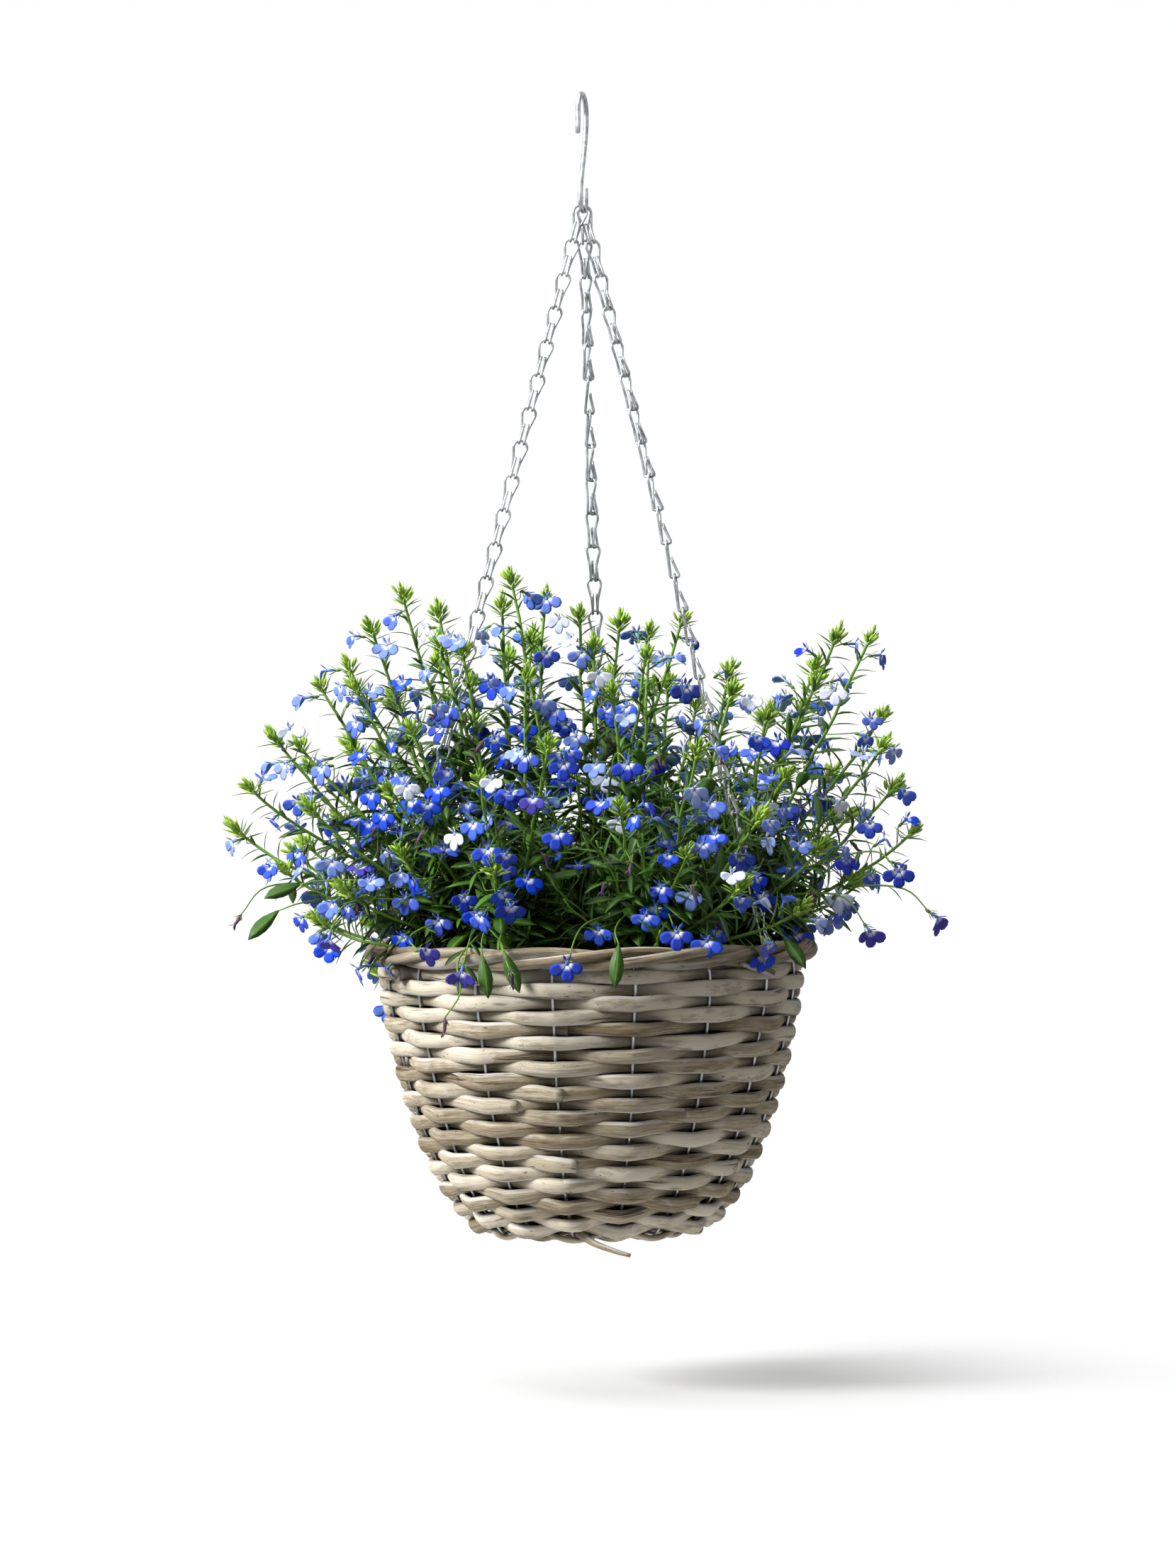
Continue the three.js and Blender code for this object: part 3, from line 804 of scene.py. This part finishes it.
def makeCompost():
    rng = random.Random(3)
    bpy.ops.object.select_all(action="DESELECT")
    bpy.ops.mesh.primitive_grid_add(x_subdivisions=64, y_subdivisions=64, size=2)
    top = bpy.context.object
    reshape((bpy.ops.mesh.solidify, {"thickness": 0.1}))    # a closed slab, lumpy above and below
    edge = wallAt(12)[0][0] - filling["inset"] - 2.6
    spots = np.array([v.co[:] for v in top.data.vertices])
    faces = [tuple(p.vertices) for p in top.data.polygons]
    bpy.data.objects.remove(top)
    u, v = spots[:, 0], spots[:, 1]
    x, y = u * np.sqrt(1 - v ** 2 / 2) * edge, v * np.sqrt(1 - u ** 2 / 2) * edge
    r = np.hypot(x, y) / edge
    lumps = [3.2 * rough(a * 0.05, b * 0.05) + 1.5 * rough(a * 0.21, b * 0.21, 3)
             + 0.8 * rough(a * 0.7, b * 0.7, 5) for a, b in zip(x, y)]
    z = filling["soilTop"] + 3 * (1 - r ** 2) + np.array(lumps) * np.clip((1 - r) * 6, 0.25, 1)
    z -= np.where(spots[:, 2] < spots[:, 2].mean(), 1.2, 0)
    bench = Bench()
    bench.lay(np.stack([x, y, z], axis=1) * mm, faces)
    for _ in range(filling["crumbs"]):
        a, d, size = rng.uniform(0, 360), math.sqrt(rng.random()) * (edge - 4), rng.uniform(0.7, 2.6)
        spot = polar(d, a, filling["soilTop"] + 3 * (1 - (d / edge) ** 2)
                     + 3.2 * rough(polar(d, a)[0] * 0.05, polar(d, a)[1] * 0.05) + size * 0.3)
        ring, turn, rodFaces = straightRod(5, 3)
        wide = np.array([0.5, 1, 0.9, 0.35])[ring] * size
        lump = np.stack([np.cos(turn) * wide, np.sin(turn) * wide * rng.uniform(0.5, 1),
                         (ring - 1.5) * size * 0.6], axis=1)
        tip = np.array(Matrix.Rotation(rng.uniform(0, 3), 3, (rng.random(), rng.random(), 0.3)))
        bench.lay((lump @ tip.T + spot) * mm, rodFaces)
    # the body of the compost below its surface, down to the liner's floor
    side = [(0, filling["floor"] + 4), (58, filling["floor"] + 4)]
    side += [tuple(wallAt(s)[0] - np.array([filling["inset"] + 2.8, 0]))
             for s in np.linspace(wallRun[-1] - 16, 13, 9)]
    side += [(edge - 0.2, filling["soilTop"] - 1.5), (edge - 6, filling["soilTop"] - 3.5), (0, -594)]
    ring, turn, rodFaces = straightRod(72, len(side) - 1)
    radius, level = np.array(side)[ring].T
    radius = np.maximum(radius, 0.4)
    body = np.stack([radius * np.cos(turn), radius * np.sin(turn), level], axis=1)
    bench.lay(body * mm, rodFaces)
    bench.piece("compostFill", ["compost"], ["compost"], "compost")


makeLiner()
makeCompost()
print("liner and compost filled")


# plants
plants = {"radius": 78, "soil": -588, "seed": 21, "stem": 3.0, "shoot": 2.2, "bracts": 24,
          "buds": 6, "spiral": 2.4, "petal": 11.6, "tube": 7.2, "sepal": 6.0}
crownAzimuths = [140, 227.9, 295.6, 358.6, 56.9]
crowns = [polar(plants["radius"], a, plants["soil"]) for a in crownAzimuths]
crowns.append(np.array([0.0, 0.0, plants["soil"]]))
frontTips = [  # where the tall stems of the front end, millimetres from the hang point
    (-124, 10, -330), (-101, 60, -341), (-51, 20, -320), (-28, 70, -331), (-83, -50, -367),
    (-58, 90, -336), (4, 10, -365), (22, 60, -349), (64, 20, -348), (168, 20, -360),
    (189, -10, -362), (155, 60, -380), (97, 70, -383), (199, 40, -414), (196, -40, -433),
    (216, -20, -491), (-162, 30, -377), (-179, -20, -390), (-154, -60, -391), (-116, -100, -419),
    (-192, -40, -430), (-184, -80, -470), (-236, -20, -485), (-26, -130, -430), (16, -90, -396),
    (95, -80, -396), (71, -130, -435), (-129, -120, -459), (-170, 60, -482), (-212, 30, -425),
    (40, -60, -372), (-40, -90, -384), (-70, -140, -452), (20, -150, -470), (-5, 40, -344),
    (130, -90, -452), (42, -20, -356), (-204, -30, -512), (-162, -80, -524), (-124, -100, -500),
    (152, -70, -500), (176, -30, -522), (64, -140, -500), (-62, -150, -508), (206, 20, -462),
    (-228, 10, -458), (118, -60, -412), (-98, -40, -362), (-146, 20, -352), (112, -120, -478),
    (98, -138, -522), (138, -112, -538), (-180, -60, -545),
]
sprays = [  # plant, way it faces, kind, and the low points of the thin stems over the rim
    (2, (-0.05, -1, -0.1), "flower", (-8, -128, -553), (-15, -157, -571)),
    (2, (0.1, -1, 0.1), "flower", (50, -118, -540), (55, -146, -553)),
    (2, (-0.6, -0.7, -0.3), "flower", (45, -110, -515), (50, -132, -522)),
    (1, (0.3, -0.8, -0.4), "flower", (-60, -112, -528), (-53, -140, -532)),
    (1, (-0.2, -0.7, -0.7), "violet", (-78, -126, -557), (-82, -150, -572)),
    (1, (0.7, -0.7, 0.1), "violet", (-118, -104, -556), (-112, -126, -564)),
    (1, (-0.3, -0.3, -0.9), "violet", (-160, -80, -535), (-169, -86, -551)),
    (1, (-0.2, -0.1, -1), "spent", (-86, -140, -572), (-84, -157, -590), (-94, -158, -606)),
    (1, (0.2, -0.2, -1), "spent", (-58, -140, -560), (-52, -158, -576)),
    (1, (0.15, -0.35, -1), "leaf", (-70, -130, -556), (-70, -150, -566)),
    (1, (0.4, -0.3, -1), "leaf", (-58, -132, -556), (-56, -150, -564)),
    (2, (-0.1, -0.35, -1), "leaf", (16, -130, -552), (18, -152, -560)),
    (0, (-0.8, -0.5, -0.7), "leaf", (-190, -40, -535), (-206, -44, -540)),
    (1, (-0.7, -0.6, -0.2), "leaf", (-176, -70, -520), (-190, -76, -522)),
    (3, (0.5, -0.7, -0.7), "leaf", (118, -96, -553), (126, -104, -558)),
    (3, (0.3, -0.7, -0.4), "violet", (168, -60, -535), (181, -70, -553)),
    (3, (0.7, -0.4, -0.5), "violet", (208, -40, -530), (224, -50, -545)),
    (0, (-0.6, -0.5, -0.8), "spent", (-215, -20, -525), (-232, -26, -543)),
    (3, (0.1, -1, 0), "flower", (190, -50, -505), (202, -66, -517)),
    (4, (0.2, 1, -0.1), "flower", (40, 125, -540), (46, 150, -562)),
    (0, (-0.2, 1, -0.2), "flower", (-60, 122, -545), (-66, 148, -566)),
    (5, (0.1, -1, 0.1), "flower", (-46, -100, -458), (-52, -118, -463)),
    (5, (0.1, -1, 0.1), "flower", (-10, -100, -438), (-17, -120, -444)),
    (5, (-0.1, -1, 0), "flower", (18, -98, -438), (26, -118, -444)),
    (2, (-0.1, -1, 0), "flower", (-14, -118, -482), (-20, -140, -488)),
    (1, (-0.1, -1, 0.1), "flower", (-60, -120, -490), (-65, -142, -498)),
]


def sideWidth(t, low, high, tip):
    # a blade's half width, 0 to 1: narrow stalk, widest between low and high, pointed tip
    rise = np.sin(np.clip(t / low, 0.08, 1) * math.pi / 2)
    return rise * np.sin(np.clip((1 - t) / (1 - high), 0, 1) * math.pi / 2) ** tip


def blade(steps, long, wide, thick, low, high, fold, droop, curl, tip=0.8, sides=4, end=0.03):
    # a leaf or petal lying along +X, its upper face towards +Z
    ring, turn, faces = straightRod(sides, steps)
    if sides == 6:
        turn = turn + math.pi / 6
    t = (ring / steps) ** (0.7 if end > 0.1 else 1)     # closer rings towards a round end
    half = sideWidth(t, low, high, tip) * wide / 2
    half = np.where(ring == steps, wide * end, half)
    y, up = np.cos(turn) * half, np.sin(turn)
    rim = np.abs(np.cos(turn))
    z = up * thick * np.where((ring == 0) | (ring == steps), 0.4, 1)
    z = z + fold * rim ** 1.5 * half - droop * long * t ** 2 + curl * long * t ** 3
    spots = np.stack([t * long * (1 - 0.12 * (abs(droop) + abs(curl)) * t), y, z], axis=1)
    return spots, faces, {"reach": t, "rim": rim, "under": (up < -0.3).astype(float)}


leafKinds = [
    blade(5, 1, 0.33, 0.008, 0.56, 0.60, 0.20, 0.14, 0.0),
    blade(5, 1, 0.30, 0.008, 0.52, 0.56, 0.24, 0.38, 0.10),
    blade(5, 1, 0.37, 0.008, 0.58, 0.64, 0.15, -0.05, -0.18),
    blade(3, 1, 0.17, 0.010, 0.34, 0.36, 0.30, 0.14, -0.05),
    blade(5, 1, 0.19, 0.008, 0.42, 0.50, 0.30, 0.48, 0.15),
]
broadPetal = blade(4, 1, 0.74, 0.014, 0.70, 0.70, 0.10, 0.14, 0.0, tip=0.45, sides=6, end=0.2)
bract = blade(3, 1, 0.26, 0.02, 0.34, 0.36, 0.30, -0.10, -0.05)
narrowPetal = blade(3, 1, 0.30, 0.02, 0.5, 0.55, 0.2, -0.16, 0.0)
spikeBlade = blade(2, 1, 0.2, 0.06, 0.2, 0.2, 0.0, 0.0, 0.0, sides=3)


def turned(spots, way, up):
    # a shape made along +X is turned to lie along way, its top towards up
    way = unit(way)
    side = np.cross(up, way)
    if np.linalg.norm(side) < 1e-6:
        side = np.cross([0.13, 1, 0.07], way)
    side = unit(side)
    return spots @ np.stack([way, side, np.cross(way, side)])


def layBlade(bench, kind, spot, way, up, size, wears=0, **marks):
    spots, faces, own = kind
    bench.lay(turned(spots * size, way, up) + spot, faces, wears, **{**own, **marks})


def anyWay(rng, tilt=1.0):
    a = rng.uniform(0, 2 * math.pi)
    return np.array([math.cos(a), math.sin(a), rng.uniform(-tilt, tilt)])


def stemRoute(crown, tip, rng, steps, lift=0.45):
    # up out of the compost, leaning over, then turning up again at the tip
    out = np.array([tip[0] - crown[0], tip[1] - crown[1], 0.0])
    long = np.linalg.norm(tip - crown)
    foot = crown + polar(rng.uniform(2, 24), rng.uniform(0, 360))
    foot[2] = plants["soil"] - 3
    b = foot + np.array([0, 0, long * lift * 0.55]) + out * 0.16
    c = tip - np.array([0, 0, long * 0.20]) - out * 0.20
    t = np.linspace(0, 1, steps + 1)[:, None]
    route = bend(foot, b, c, tip, t)
    wobble = np.array([[rough(k * 0.35, tip[0] * 0.1), rough(k * 0.35, tip[1] * 0.1 + 9), 0]
                       for k in range(steps + 1)])
    return route + wobble * 3.2 * np.sin(np.pi * t)


def around(side, up, degrees):
    return side * math.cos(math.radians(degrees)) + up * math.sin(math.radians(degrees))


def layFlower(benches, base, way, rng, size=1.0, closed=0.0, pale=None, tone=None):
    # way is where the flower faces; the pedicel comes from base
    flower = benches["flower"]
    tone = rng.random() if tone is None else tone
    if pale is None:
        pale = rng.uniform(0.45, 1) if rng.random() < 0.2 else rng.uniform(0, 0.28)
    way = unit(way)
    up = unit(np.array([0, 0, 1.0]) - way * way[2])
    side = np.cross(up, way)
    tubeLong = plants["tube"] * size
    tube = np.array([base, base + way * tubeLong * 0.5, base + way * tubeLong])
    layRod(flower, tube, np.array([1.5, 1.9, 2.6]) * size, sides=6, first=up,
           reach=0.8, rim=0.5, under=1.0, tone=tone, pale=min(1, pale + 0.25))
    heart = base + way * (tubeLong - 0.5)
    spread = 1 - 0.75 * closed
    for turn, long in [(-90, 1.0), (-90 - 60, 0.96), (-90 + 60, 0.96)]:
        out = around(side, up, turn + rng.uniform(-7, 7))
        lobe = out * spread + way * (0.16 + closed)
        layBlade(flower, broadPetal, heart + out * 0.6 * size, lobe, way, plants["petal"] * long
                 * size * rng.uniform(0.92, 1.06), tone=tone, pale=pale)
    for turn in (63, 117):
        out = around(side, up, turn + rng.uniform(-10, 10))
        layBlade(flower, narrowPetal, heart + out * 0.6 * size, out * spread + way * (0.35 + closed),
                 way, plants["petal"] * 0.58 * size, tone=tone, pale=min(1, pale + 0.1))
    for k in range(5):
        out = around(side, up, k * 72 + 18)
        layBlade(flower, spikeBlade, base + out * 0.8 * size, way * 0.9 + out * 0.55, out,
                 plants["sepal"] * size, wears=1, tone=0.4)
    layRod(flower, np.array([base - way * 3.4, base - way * 1.6, base + way * 0.4]),
           np.array([0.9, 2.6, 2.2]) * size, sides=6, first=up, wears=1,
           reach=0.3, rim=0.6, under=0.0, tone=0.3)


def layPedicel(benches, start, end, rng, thick=0.75):
    mid = (start + end) / 2 + np.array([rng.uniform(-2, 2), rng.uniform(-2, 2),
                                        -0.12 * np.linalg.norm(end - start) + rng.uniform(-1, 3)])
    layRod(benches["stem"], curve([start, mid, end], 6), thick, sides=4, reach=0.75,
           tone=rng.random(), rodPlace=rng.random())


def laySpent(benches, base, way, rng):
    # a shrivelled flower hanging from its calyx
    tone = rng.random()
    spots = [base + way * 9 * t + np.array([rng.uniform(-1, 1), rng.uniform(-1, 1), -4 * t * t])
             for t in (0, 0.35, 0.7, 1)]
    layRod(benches["spent"], np.array(spots), np.array([1.4, 2.8, 2.2, 0.8]), sides=5, tone=tone)
    for _ in range(2):
        layBlade(benches["spent"], narrowPetal, spots[2], way + anyWay(rng) * 0.7, anyWay(rng), 5.5,
                 tone=tone)
    for _ in range(5):
        out = anyWay(rng, 0.6)
        layBlade(benches["flower"], spikeBlade, base, way * 0.7 + out * 0.5, out, 5.5, wears=1,
                 tone=0.35, pale=0)


def layTip(benches, spot, way, rng, size=1.0):
    # the spiky yellow-green head of a stem: narrow bracts round a knot of buds
    for k in range(plants["bracts"]):
        t = k / plants["bracts"]
        a = k * plants["spiral"]
        out = np.array([math.cos(a), math.sin(a), 0])
        lean = way * (0.35 + 1.3 * t) + out * (1.15 - 0.95 * t)
        start = spot + way * (11 * t - 10) * size
        layBlade(benches["tip"], bract, start, lean, way + out * -0.4,
                 (12.5 - 4 * t) * size * rng.uniform(0.8, 1.2), tone=rng.uniform(0.3, 1))
    for _ in range(plants["buds"]):
        out = anyWay(rng, 0.3)
        bud = spot + out * 3.0 * size - way * rng.uniform(0, 5) * size
        lift = unit(out * 0.8 + way)
        layRod(benches["tip"], np.array([bud, bud + lift * 2.5, bud + lift * 5.5, bud + lift * 7]),
               np.array([1.0, 2.4, 2.0, 0.6]) * size, sides=5, reach=0.5, rim=0.4, under=0.0,
               tone=rng.uniform(0.5, 1))


def dressStem(benches, route, rng, leafGap, longest, flowers, headed=True, facing=(0, 0)):
    run = alongs(route)
    total = run[-1]
    way = ways(route)
    distance, turn = total * 0.07, rng.uniform(0, 6.28)
    while distance < total - 5:
        t = distance / total
        spot, axis = pointAt(route, run, distance), pointAt(way, run, distance)
        turn += plants["spiral"] + rng.uniform(-0.3, 0.3)
        side = unit(np.cross(axis, [math.cos(turn), math.sin(turn), 0.1]))
        kind = rng.choice([3, 3, 4]) if t > 0.66 else rng.choice([0, 0, 1, 2, 4])
        long = longest * (1.15 - 0.5 * t) * rng.uniform(0.72, 1.15) * (0.7 if t > 0.8 else 1)
        lean = side + axis * (0.25 + 0.75 * t) * rng.uniform(0.6, 1.3)
        layBlade(benches["leaf"], leafKinds[kind], spot, lean, axis - side * 0.3, long,
                 tone=min(1, rng.random() * 0.75 + 0.3 * t))
        distance += leafGap * rng.uniform(0.75, 1.3) * (1.1 - 0.35 * t)
    outward = np.array([route[-1][0] - facing[0], route[-1][1] - facing[1], 0])
    outward /= max(np.linalg.norm(outward), 1e-6)
    for k in range(flowers):
        young = headed and k < 2
        d = total * (0.985 - 0.58 * (k + rng.random() * 0.6) / max(flowers, 1))
        spot, axis = pointAt(route, run, d), pointAt(way, run, d)
        turn += plants["spiral"]
        side = unit(np.cross(axis, [math.cos(turn), math.sin(turn), 0.1]))
        side = unit(side + outward * 0.6)
        reach = rng.uniform(7, 14) if young else rng.uniform(15, 27)
        base = spot + side * reach + np.array([0, 0, rng.uniform(-2, 12)])
        face = side * 0.8 + outward * 0.6 + anyWay(rng, 0.4) * 0.75
        face[2] += rng.uniform(-0.2, 0.45)
        face = unit(face)
        layPedicel(benches, spot, base - face * 3.4, rng)
        if not young and rng.random() < 0.16:
            laySpent(benches, base, face * [1, 1, 0.2] + [0, 0, -0.6], rng)
        else:
            size = rng.uniform(0.86, 1.08) * (0.92 if young else 1)
            half = rng.random() < (0.5 if young else 0.16)
            closed = rng.uniform(0.2, 0.6) if half else rng.uniform(0, 0.15)
            pale = rng.uniform(0.3, 1) if young and rng.random() < 0.6 else None
            layFlower(benches, base, face, rng, size, closed, pale)
    if headed:
        layTip(benches, route[-1], way[-1], rng, rng.uniform(0.8, 1.1))


def laySpray(benches, crown, way, spray, rng):
    # a thin leafy stem leaning out over the rim, with one flower or leaf at its end
    kind, *points = spray
    way = unit(np.array(way, float))
    points = np.array(points, float)
    over = (crown * 0.25 + points[0] * 0.75) + [0, 0, 16]
    route = curve([crown + [0, 0, -3], crown * 0.6 + points[0] * 0.4 + [0, 0, 26], over, *points], 20)
    layRod(benches["stem"], route, np.linspace(2.0, 0.9, 21), sides=5,
           reach=np.linspace(0.3, 0.9, 21), tone=rng.random(), rodPlace=rng.random())
    run = alongs(route)
    for k in range(7):
        d = run[-1] * (0.2 + 0.1 * k)
        spot = pointAt(route, run, d)
        side = anyWay(rng, 0.4) + way * 0.5
        layBlade(benches["leaf"], leafKinds[rng.choice([0, 1, 4])], spot, side, (0, 0, 1),
                 rng.uniform(17, 30) * (1 - 0.05 * k), tone=rng.random())
    base = points[-1]
    if kind == "leaf":
        layBlade(benches["leaf"], leafKinds[0], base, way, (0, -1, 0.4), 29, tone=0.55)
    elif kind == "spent":
        laySpent(benches, base, way, rng)
    else:
        layFlower(benches, base, way, rng, 1.0, closed=0.35 if kind == "violet" else 0.0,
                  pale=0.1, tone=0.97 if kind == "violet" else 0.3)


def nearestCrown(tip):
    return min(range(len(crowns)), key=lambda i: np.linalg.norm(
        crowns[i][:2] * (1.7 if i < 5 else 1) - np.array(tip[:2])))


def allStems(rng):
    # crown, tip, leaf gap, longest leaf, flowers, whether it has a bud tip, where its flowers face from
    stems = []
    for tip in frontTips:
        bloom = rng.choice([5, 6, 7])
        stems.append((nearestCrown(tip), tip, 4.8, 32, bloom, True, (0, 130)))
    for x, _, z in frontTips:
        back = (x * 0.86 + rng.uniform(-12, 12), 176 - 0.33 * abs(x) - max(0, -470 - z)
                + rng.uniform(-30, 6) - 40 * (z > -365), z - rng.uniform(18, 50))
        stems.append((nearestCrown(back), back, 5.4, 31, rng.choice([4, 5, 6]), True, (0, -60)))
    for crown, azimuth in enumerate([*crownAzimuths, 0]):
        shoots = 22 if crown < 5 else 16
        for k in range(shoots):
            a = azimuth + (k / shoots - 0.5) * (250 if crown < 5 else 360) + rng.uniform(-8, 8)
            tip = crowns[crown] + polar(rng.uniform(20, 80), a) + [0, 0, rng.uniform(34, 135)]
            bloom = 1 if rng.random() < 0.3 else 0
            stems.append((crown, tuple(tip), 5.0, rng.uniform(30, 42), bloom, False, (0, 0)))
    return stems


def makePlants():
    rng = random.Random(plants["seed"])
    stems = allStems(rng)
    flowerNodes = [f"flower_{i + 1}" for i in range(15)]
    for crown in range(len(crowns)):
        benches = {kind: Bench() for kind in ("stem", "leaf", "tip", "flower", "spent")}
        for index, tip, gap, longest, flowers, headed, facing in stems:
            if index != crown:
                continue
            route = stemRoute(crowns[crown], np.array(tip, float), rng, 22,
                              0.45 if headed else 0.7)
            t = np.linspace(0, 1, len(route))
            girth = plants["stem" if headed else "shoot"] * (1 - 0.38 * t)
            layRod(benches["stem"], route, girth, sides=7, reach=t, tone=rng.random(),
                   rodPlace=rng.random())
            dressStem(benches, route, rng, gap, longest, flowers, headed, facing)
        for index, way, *spray in sprays:
            if index == crown:
                laySpray(benches, crowns[crown], way, spray, rng)
        for bench in benches.values():
            bench.spots = [s * mm for s in bench.spots]
        grown, green = f"plant{crown + 1}", [f"plant_{crown + 1}"]
        blue = flowerNodes[crown * 3:crown * 3 + 3] if crown < 5 else flowerNodes[:1]
        benches["stem"].piece(grown + "Stems", ["stem"], green, "foliage")
        benches["leaf"].piece(grown + "Leaves", ["leaf"], green, "foliage")
        benches["tip"].piece(grown + "BudTips", ["bud"], green, "foliage")
        benches["flower"].piece(grown + "Flowers", ["petal", "bud"], blue, "petals")
        benches["spent"].piece(grown + "SpentFlowers", ["spent"], blue, "petals")


makePlants()
print("plants grown")
